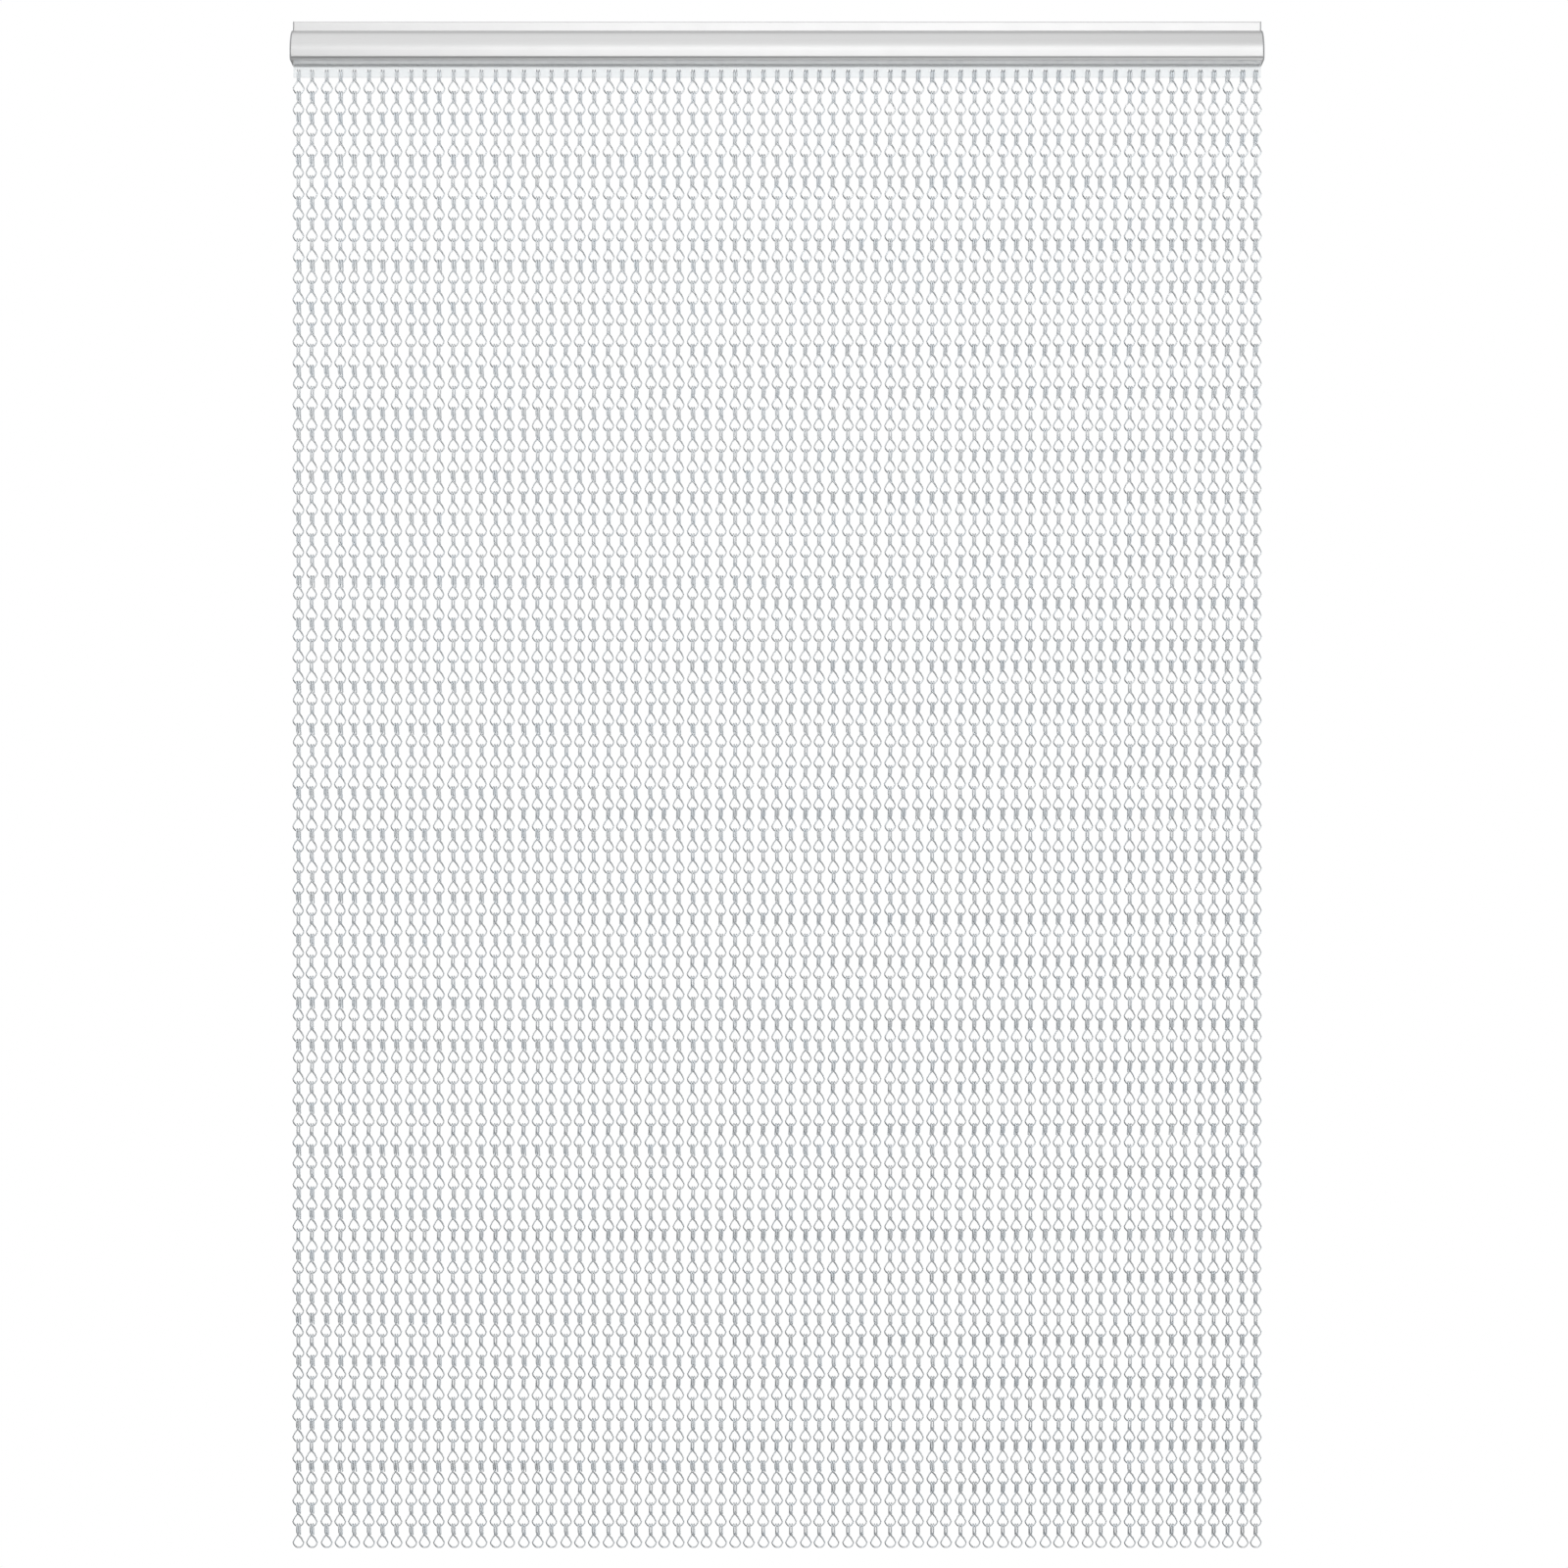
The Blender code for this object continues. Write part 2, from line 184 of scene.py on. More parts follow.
def drawn_metal_marks():
    """Group of the marks that a die and handling leave on aluminium: fine lines along X and soft cloudy
    patches.

    Lines is noise on Object coordinates squeezed hard across the metal and hardly along it. Patches is
    plain noise. Roughness is the base roughness plus each of the two times its own strength.
    """
    inputs = {"Base": 0.3, "Line": 0.05, "Patch": 0.05}
    group = add_group("drawn_metal_marks", inputs, ["Roughness", "Lines"])
    nodes, links = group.nodes, group.links
    entry = nodes.new("NodeGroupInput")
    leave = nodes.new("NodeGroupOutput")
    coordinates = nodes.new("ShaderNodeTexCoord")
    squeeze = nodes.new("ShaderNodeMapping")
    squeeze.inputs["Scale"].default_value = (3.0, 2400.0, 2400.0)
    lines = nodes.new("ShaderNodeTexNoise")
    lines.inputs["Scale"].default_value = 1.0
    lines.inputs["Detail"].default_value = 2.0
    patches = nodes.new("ShaderNodeTexNoise")
    patches.inputs["Scale"].default_value = 38.0
    patches.inputs["Detail"].default_value = 3.0
    links.new(coordinates.outputs["Object"], squeeze.inputs["Vector"])
    links.new(squeeze.outputs["Vector"], lines.inputs["Vector"])
    links.new(coordinates.outputs["Object"], patches.inputs["Vector"])
    add_lines = nodes.new("ShaderNodeMath")
    add_lines.operation = "MULTIPLY_ADD"
    add_patches = nodes.new("ShaderNodeMath")
    add_patches.operation = "MULTIPLY_ADD"
    links.new(lines.outputs["Fac"], add_lines.inputs[0])
    links.new(entry.outputs["Line"], add_lines.inputs[1])
    links.new(entry.outputs["Base"], add_lines.inputs[2])
    links.new(patches.outputs["Fac"], add_patches.inputs[0])
    links.new(entry.outputs["Patch"], add_patches.inputs[1])
    links.new(add_lines.outputs["Value"], add_patches.inputs[2])
    links.new(add_patches.outputs["Value"], leave.inputs["Roughness"])
    links.new(lines.outputs["Fac"], leave.inputs["Lines"])
    return group


metal_marks = drawn_metal_marks()


def new_material(name):
    """A material with only a Principled shader, and that shader."""
    material = bpy.data.materials.new(name)
    material.use_nodes = True
    return material, material.node_tree.nodes["Principled BSDF"]


def tint_between(material, factor, dark, light):
    """Feeds Base Color with a mix from the dark colour at factor 0 to the light one at 1."""
    nodes, links = material.node_tree.nodes, material.node_tree.links
    mix = nodes.new("ShaderNodeMix")
    mix.data_type = "RGBA"
    mix.inputs["A"].default_value = dark
    mix.inputs["B"].default_value = light
    links.new(factor, mix.inputs["Factor"])
    links.new(mix.outputs["Result"], nodes["Principled BSDF"].inputs["Base Color"])


def anodised_aluminium():
    """Satin anodised aluminium, nearly white, with die lines along the rail in tint, gloss and relief."""
    material, shader = new_material("satin_anodised_aluminium")
    nodes, links = material.node_tree.nodes, material.node_tree.links
    shader.inputs["Metallic"].default_value = 0.85
    marks = nodes.new("ShaderNodeGroup")
    marks.node_tree = metal_marks
    marks.inputs["Base"].default_value = 0.30
    marks.inputs["Line"].default_value = 0.08
    marks.inputs["Patch"].default_value = 0.06
    links.new(marks.outputs["Roughness"], shader.inputs["Roughness"])
    tint_between(material, marks.outputs["Lines"], (0.84, 0.84, 0.84, 1), (0.92, 0.92, 0.92, 1))
    relief = nodes.new("ShaderNodeBump")
    relief.inputs["Strength"].default_value = 0.08
    relief.inputs["Distance"].default_value = 0.00004
    links.new(marks.outputs["Lines"], relief.inputs["Height"])
    links.new(relief.outputs["Normal"], shader.inputs["Normal"])
    return material


channel_half = BEAD_RADIUS + FIT_GAP
slot_half = STRIP_THICKNESS / 2 + FIT_GAP
slot_front, slot_rear = STRIP_OUT + slot_half, STRIP_OUT - slot_half
channel_front, channel_rear = STRIP_OUT + channel_half, STRIP_OUT - channel_half
rib_front, rib_rear = channel_front + RIB_THICKNESS, channel_rear - RIB_THICKNESS
rib_top = slot_lip(STRIP_OUT) + RIB_HEIGHT
lip_turn = np.linspace(math.pi / 2, 0, LIP_POINTS)
lip_edge = np.column_stack(
    (LIP_THICKNESS + LIP_ROUND * (np.cos(lip_turn) - 1), RAIL_TOP + LIP_ROUND * (np.sin(lip_turn) - 1))
)
rail_outline = np.vstack(
    (
        [(0, RAIL_BOTTOM), (0, RAIL_TOP)],
        lip_edge,
        bulge_curve(0, LIP_THICKNESS, slot_front),
        [(slot_front, slot_lip(slot_front)), (channel_front, slot_lip(channel_front))],
        [(channel_front, rib_top), (rib_front, rib_top)],
        bulge_curve(RAIL_WALL, LIP_THICKNESS, rib_front)[::-1],
        [(LIP_THICKNESS, slot_lip(LIP_THICKNESS)), (rib_rear, slot_lip(rib_rear)), (rib_rear, rib_top)],
        [(channel_rear, rib_top), (channel_rear, slot_lip(channel_rear))],
        [(slot_rear, slot_lip(slot_rear)), (slot_rear, underside(slot_rear))],
    )
)
rail_ends = np.linspace(-RAIL_HALF_LENGTH, RAIL_HALF_LENGTH, 2)
rail_shape = extrusion(rail_outline, rail_ends)
rail = mesh_piece("aluminium_rail", *rail_shape, anodised_aluminium(), smooth_below=25)
edge_round(rail, width=0.00015)
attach(rail, "rail")
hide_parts("rail_profile")


# END CAPS. Two moulded plastic caps in the rail's grey. Each is a plate of the rail's outline, and a plug
# behind it pushes into the hollow bulge, in front of the strip's channel, so that the strip can't slide
# out.

PLUG_LENGTH = 0.008


def cap_plastic():
    """Satin grey plastic with a faint mould grain, from fine noise in its gloss and tint."""
    material, shader = new_material("moulded_cap_plastic")
    nodes, links = material.node_tree.nodes, material.node_tree.links
    grain = nodes.new("ShaderNodeTexNoise")
    grain.inputs["Scale"].default_value = 900.0
    coordinates = nodes.new("ShaderNodeTexCoord")
    links.new(coordinates.outputs["Object"], grain.inputs["Vector"])
    spread = nodes.new("ShaderNodeMapRange")
    spread.inputs["To Min"].default_value = 0.42
    spread.inputs["To Max"].default_value = 0.58
    links.new(grain.outputs["Fac"], spread.inputs["Value"])
    links.new(spread.outputs["Result"], shader.inputs["Roughness"])
    tint_between(material, grain.outputs["Fac"], (0.72, 0.73, 0.74, 1), (0.78, 0.79, 0.80, 1))
    return material


moulded_plastic = cap_plastic()
cap_outline = np.vstack(([(0, RAIL_TOP), (LIP_THICKNESS, RAIL_TOP)], bulge_curve(0, LIP_THICKNESS, 0)))
plug_back = rib_front + FIT_GAP
plug_outline = bulge_curve(RAIL_WALL + FIT_GAP, plug_back, plug_back)
for cap_name, node, side in (("left_cap", "end_cap_left", -1), ("right_cap", "end_cap_right", 1)):
    outer = side * CURTAIN_WIDTH / 2
    inner = outer - side * CAP_THICKNESS
    plate_shape = extrusion(cap_outline, sorted((inner, outer)))
    plate = mesh_piece(cap_name, *plate_shape, moulded_plastic, smooth_below=30)
    edge_round(plate, width=0.0003)
    tip = inner - side * PLUG_LENGTH
    plug_shape = extrusion(plug_outline, sorted((tip, inner)))
    plug = mesh_piece(cap_name + "_plug", *plug_shape, moulded_plastic, smooth_below=30)
    edge_round(plug, width=0.0002)
    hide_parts(node)
    for piece in (plate, plug):
        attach(piece, "rail")


# HANGING STRIP. One extruded strip of clear, slightly milky plastic as long as the rail. Its round bead
# slides in the rail's channel, and one hole is punched under the rail for each strand.

STRAND_COUNT = 69
RING_WIDTH = 0.0113
STRAND_PITCH = (CURTAIN_WIDTH - RING_WIDTH) / (STRAND_COUNT - 1)
STRIP_BOTTOM = RAIL_BOTTOM - 0.0113
HOLE_WIDTH = 0.005
HOLE_SEAT_Z = -0.02691
HOLE_TOP_Z = -0.0251
BEAD_POINTS = 25

strand_x = (np.arange(STRAND_COUNT) - (STRAND_COUNT - 1) / 2) * STRAND_PITCH


def strip_outline():
    """Outline (out, z) of the strip: a flat tongue under a round bead, whose points lie on a circle.

    The tongue's sides have points at the heights of the holes' seats and tops.
    """
    half = STRIP_THICKNESS / 2
    bead_z = slot_lip(slot_front) + FIT_GAP + math.sqrt(BEAD_RADIUS**2 - slot_half**2)
    first = math.atan2(-math.sqrt(BEAD_RADIUS**2 - half**2), half)
    turn = np.linspace(first, math.pi - first, BEAD_POINTS)
    bead = np.column_stack((STRIP_OUT + BEAD_RADIUS * np.cos(turn), bead_z + BEAD_RADIUS * np.sin(turn)))
    heights = np.array([STRIP_BOTTOM, HOLE_SEAT_Z, HOLE_TOP_Z])
    front = np.column_stack((np.full(3, STRIP_OUT + half), heights))
    back = np.column_stack((np.full(3, STRIP_OUT - half), heights[::-1]))
    return np.vstack((front, bead, back))


def punched_strip():
    """Points and faces of the strip, with its holes.

    The outline is carried along X through the edges of every hole. Between the two edges of a hole, the
    faces from its seat to its top are left out on both sides of the tongue, and four walls join the two
    sides in their place.
    """
    outline = strip_outline()[::-1]
    corners = len(outline)
    edges = np.sort(np.concatenate((strand_x - HOLE_WIDTH / 2, strand_x + HOLE_WIDTH / 2)))
    stations = np.concatenate(([-RAIL_HALF_LENGTH], edges, [RAIL_HALF_LENGTH]))
    points, faces = extrusion(outline, stations)
    sides = np.array(faces[:-2]).reshape(len(stations) - 1, corners, 4)
    seat_front, top_front = corners - 2, corners - 3
    seat_back, top_back = 1, 2
    punched = np.arange(1, len(stations) - 1, 2)
    keep = np.ones(sides.shape[:2], bool)
    keep[np.ix_(punched, [top_front, seat_back])] = False
    left, right = punched * corners, (punched + 1) * corners
    seat = np.stack((left + seat_back, left + seat_front, right + seat_front, right + seat_back), axis=-1)
    top = np.stack((left + top_front, left + top_back, right + top_back, right + top_front), axis=-1)
    near = np.stack((left + seat_front, left + seat_back, left + top_back, left + top_front), axis=-1)
    far = np.stack((right + seat_back, right + seat_front, right + top_front, right + top_back), axis=-1)
    walls = np.vstack((seat, top, near, far))
    return points, sides[keep].tolist() + walls.tolist() + faces[-2:]


def strip_plastic():
    """Clear plastic with a milky body, partly transmitting, with fine flow lines along it in its gloss."""
    material, shader = new_material("milky_clear_plastic")
    nodes, links = material.node_tree.nodes, material.node_tree.links
    shader.inputs["IOR"].default_value = 1.52
    shader.inputs["Transmission Weight"].default_value = 0.85
    marks = nodes.new("ShaderNodeGroup")
    marks.node_tree = metal_marks
    marks.inputs["Base"].default_value = 0.22
    marks.inputs["Line"].default_value = 0.10
    marks.inputs["Patch"].default_value = 0.08
    links.new(marks.outputs["Roughness"], shader.inputs["Roughness"])
    tint_between(material, marks.outputs["Lines"], (0.90, 0.93, 0.94, 1), (0.96, 0.98, 0.99, 1))
    return material


strip = mesh_piece("hanging_strip", *punched_strip(), strip_plastic(), smooth_below=30)
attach(strip, "rail")
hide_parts("hanging_strip_and_top_links")


# WIRE LINKS. Each is one piece of bright aluminium wire, bent on a former to a ring, crossed over itself
# and ended in two hooks. The hooks bend backwards over the ring above, or for the top link over the edge of
# its hole.

LINKS_PER_STRAND = 70
WIRE_DIAMETER = 0.0015
WIRE_SIDES = 5
HOOK_BEND = 0.00205
HOOK_POINTS = 6
SIDE_POINTS = 4
NECK_HALF = 0.0011
TAIL_HALF = 0.0012
TAIL_DROP = 0.0088
CROSSING_DROP = 0.0071
WIDEST_RISE = 0.0046
LEG_BULGE = 0.00045
RING_ROUNDNESS = 1.3
LINK_PITCH = 0.01954
RING_DROP = 0.01934
TOP_HOOK_Z = -0.02795
ROW_SWAY = 0.0003
SLOW_SWAY = 0.0002
STRAND_SWAY = 0.00035
ROW_TURN = 9
SLOW_TURN = 3
STRAND_TURN = 2


def half_link_path():
    """Centreline of half a link, from the left hook's tip to the bottom of the ring, about the hooks'
    centre.

    The tail slants outwards, the hook is half a circle from the back over the top to the front, and the
    neck is straight down to a bend. From there the leg crosses the middle, in front by half a wire, and
    bulges a little on its way to the ring's widest point. Below it x and z go with powers of the cosine and
    sine of one angle, down to the flat length on which the next hooks hang.
    """
    widest_x = (RING_WIDTH - WIRE_DIAMETER) / 2
    bottom_z = -math.sqrt(RING_DROP**2 - HOOK_BEND**2)
    widest_z = bottom_z + WIDEST_RISE
    leg = np.array([widest_x, widest_z + CROSSING_DROP])
    down, aside = -leg[1] / np.hypot(*leg), leg[0] / np.hypot(*leg)
    neck_z = NECK_HALF * down / aside - CROSSING_DROP
    ease = WIRE_DIAMETER / 2
    turn = np.linspace(0, math.pi, HOOK_POINTS)
    hook_x = np.full(HOOK_POINTS, -NECK_HALF)
    hook = np.column_stack((hook_x, HOOK_BEND * np.cos(turn), HOOK_BEND * np.sin(turn)))
    tail = [(-TAIL_HALF, HOOK_BEND, -TAIL_DROP)]
    neck = [
        (-NECK_HALF, -HOOK_BEND, neck_z + ease),
        (-NECK_HALF + ease * aside, -HOOK_BEND, neck_z - ease * down),
        (0, -HOOK_BEND - WIRE_DIAMETER / 2, -CROSSING_DROP),
    ]
    middle_z = (widest_z - CROSSING_DROP) / 2 + LEG_BULGE * aside
    leg_middle = [(widest_x / 2 + LEG_BULGE * down, -HOOK_BEND, middle_z)]
    turn = np.linspace(0, math.pi / 2, SIDE_POINTS)
    flat_half = NECK_HALF + FIT_GAP
    side_x = flat_half + (widest_x - flat_half) * np.cos(turn) ** RING_ROUNDNESS
    side_z = widest_z - WIDEST_RISE * np.sin(turn) ** RING_ROUNDNESS
    side = np.column_stack((side_x, np.full(SIDE_POINTS, -HOOK_BEND), side_z))
    return np.vstack((tail, hook, neck, leg_middle, side))


def link_surface():
    """Points and faces of one link, hanging from the origin with its ring's bottom straight below.

    The right half mirrors the left in x, and crosses behind where the left crosses in front. The wire's
    section is a circle on two directions square to its run. The first lies along X in the hooks, and in the
    ring it is the cross product of the front direction and the run, so that the section doesn't twist. The
    whole link leans back about X by the angle whose tangent is the hook's bend over the ring's drop.
    """
    left = half_link_path()
    right = left[::-1] * (-1, 1, 1)
    points_before_hook, points_to_crossing = 1, 2
    crossing = points_before_hook + HOOK_POINTS + points_to_crossing
    right[len(right) - 1 - crossing, 1] += WIRE_DIAMETER
    path = np.vstack((left, right))
    stations = len(path)
    runs = np.diff(path, axis=0)
    runs /= np.linalg.norm(runs, axis=1)[:, None]
    along = np.vstack((runs[:1], runs[:-1] + runs[1:], runs[-1:]))
    along /= np.linalg.norm(along, axis=1)[:, None]
    number = np.arange(stations)
    in_ring = (number >= crossing) & (number < stations - crossing)
    sideways = np.where(number[:, None] < stations // 2, (1.0, 0, 0), (-1.0, 0, 0))
    first = np.where(in_ring[:, None], np.cross((0, -1.0, 0), along), sideways)
    first -= along * np.sum(first * along, axis=1)[:, None]
    first /= np.linalg.norm(first, axis=1)[:, None]
    second = np.cross(along, first)
    angle = np.arange(WIRE_SIDES) * 2 * math.pi / WIRE_SIDES
    reach = WIRE_DIAMETER / 2
    round_ = np.cos(angle)[None, :, None] * first[:, None] + np.sin(angle)[None, :, None] * second[:, None]
    points = (path[:, None] + reach * round_).reshape(-1, 3)
    lean = math.atan2(HOOK_BEND, math.sqrt(RING_DROP**2 - HOOK_BEND**2))
    y = points[:, 1] * math.cos(lean) - points[:, 2] * math.sin(lean)
    z = points[:, 1] * math.sin(lean) + points[:, 2] * math.cos(lean)
    points = np.column_stack((points[:, 0], y, z))
    here = np.arange(WIRE_SIDES)
    there = np.roll(here, -1)
    start = np.arange(stations - 1)[:, None] * WIRE_SIDES
    beyond = start + WIRE_SIDES
    sides = np.stack((start + here, start + there, beyond + there, beyond + here), axis=-1)
    ends = np.array([here[::-1], here + (stations - 1) * WIRE_SIDES])
    return points, sides.reshape(-1, 4), ends


link_points, link_sides, link_ends = link_surface()


def sway(x, row):
    """Place along X of a link's hooks: its strand's, moved by waves down the rows and across the strands.

    The waves are sines of the row and of x, and the sum stays inside the curtain's width.
    """
    side = ROW_SWAY * np.sin(2.17 * row + 0.4) + SLOW_SWAY * np.sin(0.83 * row + 1.1)
    side += STRAND_SWAY * np.sin(310 * x)
    limit = (CURTAIN_WIDTH - RING_WIDTH) / 2 - FIT_GAP
    return np.clip(x + side, -limit, limit)


def hooked_links(name, x, row):
    """One piece of many links, each given by the x of its strand and its row, counted from 0 at the strip.

    A link hangs one pitch below the last. It turns about the vertical by waves of a few degrees, and leans
    to the side so that its ring's bottom meets the hooks below.
    """
    x, row = np.broadcast_arrays(np.asarray(x, float), np.asarray(row, float))
    top_x, below_x = sway(x, row), sway(x, row + 1)
    degrees = ROW_TURN * np.sin(2.53 * row + 0.9) + SLOW_TURN * np.sin(0.9 * row + 2)
    degrees += STRAND_TURN * np.sin(530 * x + 1.3 * row)
    turn = np.radians(degrees)
    roll = (below_x - top_x) / LINK_PITCH
    px, py, pz = link_points.T
    turned_x = np.cos(turn)[:, None] * px - np.sin(turn)[:, None] * py
    turned_y = np.sin(turn)[:, None] * px + np.cos(turn)[:, None] * py
    points = np.empty((len(x), len(px), 3))
    points[:, :, 0] = top_x[:, None] + turned_x - roll[:, None] * pz
    points[:, :, 1] = turned_y - STRIP_OUT
    points[:, :, 2] = TOP_HOOK_Z - row[:, None] * LINK_PITCH + pz + roll[:, None] * turned_x
    start = (np.arange(len(x)) * len(px))[:, None, None]
    sides = (link_sides + start).reshape(-1, 4).tolist()
    ends = (link_ends + start).reshape(-1, WIRE_SIDES).tolist()
    piece = mesh_piece(name, points.reshape(-1, 3), sides + ends, bright_wire, smooth_below=80)
    return piece


def bright_aluminium_wire():
    """Bright drawn aluminium, a little cool in tint, with handling patches in its gloss and colour."""
    material, shader = new_material("bright_aluminium_wire")
    nodes, links = material.node_tree.nodes, material.node_tree.links
    shader.inputs["Metallic"].default_value = 1.0
    marks = nodes.new("ShaderNodeGroup")
    marks.node_tree = metal_marks
    marks.inputs["Base"].default_value = 0.20
    marks.inputs["Line"].default_value = 0.04
    marks.inputs["Patch"].default_value = 0.16
    links.new(marks.outputs["Roughness"], shader.inputs["Roughness"])
    patches = nodes.new("ShaderNodeTexNoise")
    patches.inputs["Scale"].default_value = 70.0
    coordinates = nodes.new("ShaderNodeTexCoord")
    links.new(coordinates.outputs["Object"], patches.inputs["Vector"])
    tint_between(material, patches.outputs["Fac"], (0.83, 0.90, 0.96, 1), (0.96, 0.96, 0.95, 1))
    return material


bright_wire = bright_aluminium_wire()


# TOP LINKS. The first aluminium wire link of each strand. Its hooks pass backwards through a hole of the
# strip and rest on the hole's lower edge, and its ring carries the strand. It tips by a few degrees only,
# so it rides on the rail.

top_links = hooked_links("top_links", strand_x, 0)
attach(top_links, "rail")
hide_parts("hanging_strip_and_top_links")


# STRANDS. Each is a chain of the other 69 aluminium wire links, hooked one over the next, and swings on its
# top link's ring. The seven at each side are joined to the rail's strip in the CAD model, so they ride on
# the rail.

lower_rows = np.arange(1, LINKS_PER_STRAND)
for number, x in enumerate(strand_x, start=1):
    body = f"strand_{number:02d}"
    strand = hooked_links(f"chain_{number:02d}", x, lower_rows)
    if body in frame["bodies"]:
        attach(strand, body)
        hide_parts(body)
    else:
        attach(strand, "rail")
        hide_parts("hanging_strip_and_top_links")


# STAGE AND LIGHT. The camera stands level in front of the curtain's middle, as the photographer did. A pale
# floor lies below, where a doorway's floor would be. One wide soft lamp stands behind the camera, a little
# above the rail and to the right, and the world gives the metal the rest of the studio to mirror.

CHAIN_PLANE_Y = -STRIP_OUT
CAMERA_DISTANCE = 2.85
FRAME_WIDTH = 1.4545
CAMERA_X = 0.0064
CAMERA_Z = -0.6877
FLOOR_Z = -2.05
FLOOR_REACH = 30.0

camera_data = bpy.data.cameras.new("camera")
camera_data.lens = camera_data.sensor_width * CAMERA_DISTANCE / FRAME_WIDTH
camera = bpy.data.objects.new("camera", camera_data)
camera.location = (CAMERA_X, CHAIN_PLANE_Y - CAMERA_DISTANCE, CAMERA_Z)
camera.rotation_euler = (math.pi / 2, 0, 0)
bpy.context.scene.collection.objects.link(camera)
bpy.context.scene.camera = camera


def combined(tree, operation, first, second):
    """One arithmetic operation on two factors, of which the second may be a plain number."""
    node = tree.nodes.new("ShaderNodeMath")
    node.operation = operation
    tree.links.new(first, node.inputs[0])
    if isinstance(second, float):
        node.inputs[1].default_value = second
    else:
        tree.links.new(second, node.inputs[1])
    return node.outputs["Value"]


def smooth_range(tree, value, span, levels):
    """Maps a value smoothly from the two ends of a span to two levels, and holds them outside it."""
    node = tree.nodes.new("ShaderNodeMapRange")
    node.interpolation_type = "SMOOTHSTEP"
    node.inputs["From Min"].default_value, node.inputs["From Max"].default_value = span
    node.inputs["To Min"].default_value, node.inputs["To Max"].default_value = levels
    tree.links.new(value, node.inputs["Value"])
    return node.outputs["Result"]


def seen_directly(tree, path):
    """1 for what the camera sees, also through the strip, and 0 for the rest."""
    return combined(tree, "MAXIMUM", path.outputs["Is Camera Ray"], path.outputs["Is Transmission Ray"])


def mixed(tree, factor, first, second):
    """The first shader where the factor is 0, and the second where it is 1."""
    node = tree.nodes.new("ShaderNodeMixShader")
    tree.links.new(factor, node.inputs["Fac"])
    tree.links.new(first, node.inputs[1])
    tree.links.new(second, node.inputs[2])
    return node.outputs["Shader"]


FRONT_LEVEL = 0.42
SIDE_LEVEL = 0.89
LEAST_LEVEL = 0.1
FILL_LEVEL = 0.45


def studio_level(tree, aside, depth, up):
    """Brightness of the studio in one direction, given by its parts to the right, to the back and upwards.

    The front wall is grey, and the level rises towards the sides and, above the front wall, with height.
    Three shades multiply it. One is low behind, by depth less height, and one high behind, by depth times
    height. The third is at the upper right and lower left, by width times height over 0.3 plus the squares
    of both, and makes one leg of each link darker than the other. Below the curtain the studio is a little
    lighter at the right than at the left.
    """
    level = smooth_range(tree, depth, (-1.0, -0.35), (FRONT_LEVEL, SIDE_LEVEL))
    overhead = smooth_range(tree, up, (0.3, 0.62), (FRONT_LEVEL, SIDE_LEVEL))
    level = combined(tree, "MAXIMUM", level, overhead)
    low_behind = combined(tree, "SUBTRACT", depth, up)
    high_behind = combined(tree, "MULTIPLY", depth, up)
    aside_squared = combined(tree, "MULTIPLY", aside, aside)
    up_squared = combined(tree, "MULTIPLY", up, up)
    spread = combined(tree, "ADD", combined(tree, "ADD", aside_squared, up_squared), 0.3)
    diagonal = combined(tree, "DIVIDE", combined(tree, "MULTIPLY", aside, up), spread)
    shades = (
        smooth_range(tree, low_behind, (0.95, 1.3), (1.0, 0.4)),
        smooth_range(tree, high_behind, (0.15, 0.45), (1.0, 0.38)),
        smooth_range(tree, diagonal, (0.1, 0.28), (1.0, 0.3)),
    )
    for shade in shades:
        level = combined(tree, "MULTIPLY", level, shade)
    below = smooth_range(tree, up, (-0.3, 0.0), (1.0, 0.0))
    below = combined(tree, "MULTIPLY", below, smooth_range(tree, depth, (-0.2, 0.6), (0.18, 0.12)))
    slant = smooth_range(tree, aside, (-0.35, 0.35), (-1.0, 1.0))
    level = combined(tree, "ADD", level, combined(tree, "MULTIPLY", below, slant))
    return combined(tree, "MAXIMUM", level, LEAST_LEVEL)


def background(tree, level):
    """A white background of a level that is a number or a factor."""
    node = tree.nodes.new("ShaderNodeBackground")
    node.inputs["Color"].default_value = (1, 1, 1, 1)
    if isinstance(level, float):
        node.inputs["Strength"].default_value = level
    else:
        tree.links.new(level, node.inputs["Strength"])
    return node.outputs["Background"]


def studio_world():
    """World that is white to the camera, the studio to glossy rays, and a soft grey to all others."""
    world = bpy.data.worlds.new("studio")
    bpy.context.scene.world = world
    world.use_nodes = True
    tree = world.node_tree
    tree.nodes.remove(tree.nodes["Background"])
    path = tree.nodes.new("ShaderNodeLightPath")
    coordinates = tree.nodes.new("ShaderNodeTexCoord")
    way = tree.nodes.new("ShaderNodeSeparateXYZ")
    tree.links.new(coordinates.outputs["Generated"], way.inputs["Vector"])
    level = studio_level(tree, way.outputs["X"], way.outputs["Y"], way.outputs["Z"])
    mirrored = background(tree, level)
    lit = mixed(tree, path.outputs["Is Glossy Ray"], background(tree, FILL_LEVEL), mirrored)
    shown = mixed(tree, seen_directly(tree, path), lit, background(tree, 1.0))
    tree.links.new(shown, tree.nodes["World Output"].inputs["Surface"])


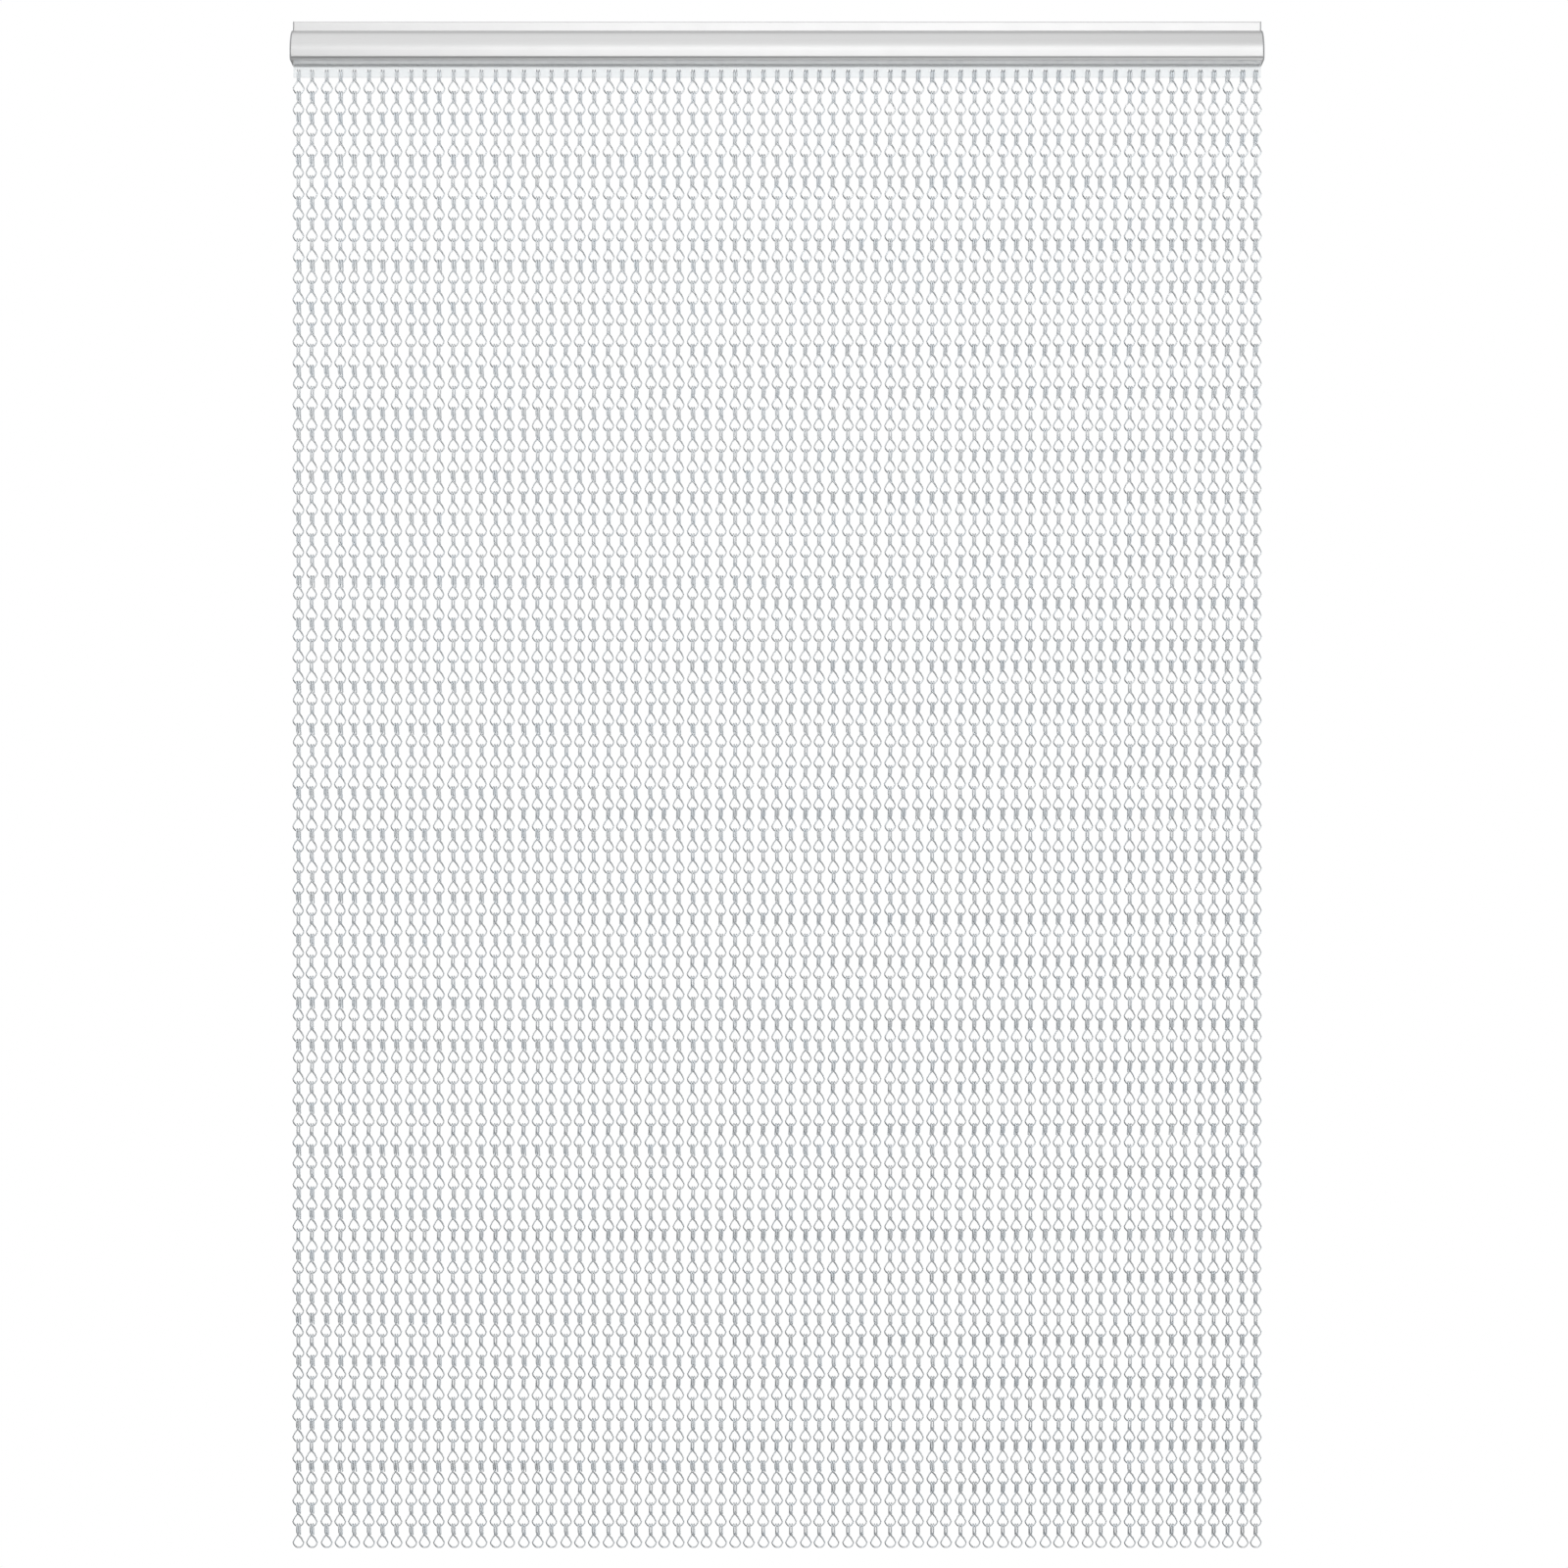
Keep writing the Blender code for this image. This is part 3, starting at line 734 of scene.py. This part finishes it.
def pale_floor():
    """Pale matt floor that turns into the white background with distance. The metal doesn't mirror it."""
    material, shader = new_material("pale_floor")
    tree = material.node_tree
    shader.inputs["Base Color"].default_value = (0.86, 0.86, 0.86, 1)
    shader.inputs["Roughness"].default_value = 0.9
    coordinates = tree.nodes.new("ShaderNodeTexCoord")
    distance = tree.nodes.new("ShaderNodeVectorMath")
    distance.operation = "LENGTH"
    tree.links.new(coordinates.outputs["Object"], distance.inputs[0])
    fade = smooth_range(tree, distance.outputs["Value"], (0.9, 2.3), (0.0, 1.0))
    path = tree.nodes.new("ShaderNodeLightPath")
    white = tree.nodes.new("ShaderNodeEmission")
    white.inputs["Color"].default_value = (1, 1, 1, 1)
    faded = combined(tree, "MULTIPLY", fade, seen_directly(tree, path))
    surface = mixed(tree, faded, shader.outputs["BSDF"], white.outputs["Emission"])
    open_ = tree.nodes.new("ShaderNodeBsdfTransparent").outputs["BSDF"]
    surface = mixed(tree, path.outputs["Is Glossy Ray"], surface, open_)
    tree.links.new(surface, tree.nodes["Material Output"].inputs["Surface"])
    return material


studio_world()
floor_mesh = bpy.data.meshes.new("floor")
floor_corners = np.array([(-1, -1, 0), (1, -1, 0), (1, 1, 0), (-1, 1, 0)]) * FLOOR_REACH
floor_mesh.from_pydata(floor_corners, [], [(0, 1, 2, 3)])
floor_mesh.materials.append(pale_floor())
floor = bpy.data.objects.new("floor", floor_mesh)
floor.location = (0, 0, FLOOR_Z)
bpy.context.scene.collection.objects.link(floor)


def soft_lamp(name, place, width, height, power):
    """A wide soft lamp of the given size in metres, turned to the middle of the curtain."""
    data = bpy.data.lights.new(name, "AREA")
    data.shape = "RECTANGLE"
    data.size = width
    data.size_y = height
    data.energy = power
    lamp = bpy.data.objects.new(name, data)
    away = np.array(place) - np.array([0, CHAIN_PLANE_Y, CAMERA_Z])
    tilt = math.acos(away[2] / np.linalg.norm(away))
    heading = math.atan2(away[1], away[0]) + math.pi / 2
    lamp.location = place
    lamp.rotation_euler = (tilt, 0, heading)
    bpy.context.scene.collection.objects.link(lamp)


soft_lamp("key_lamp", place=(0.45, -3.3, 0.95), width=3.2, height=1.7, power=19.2)

bpy.context.scene.view_settings.view_transform = "Standard"
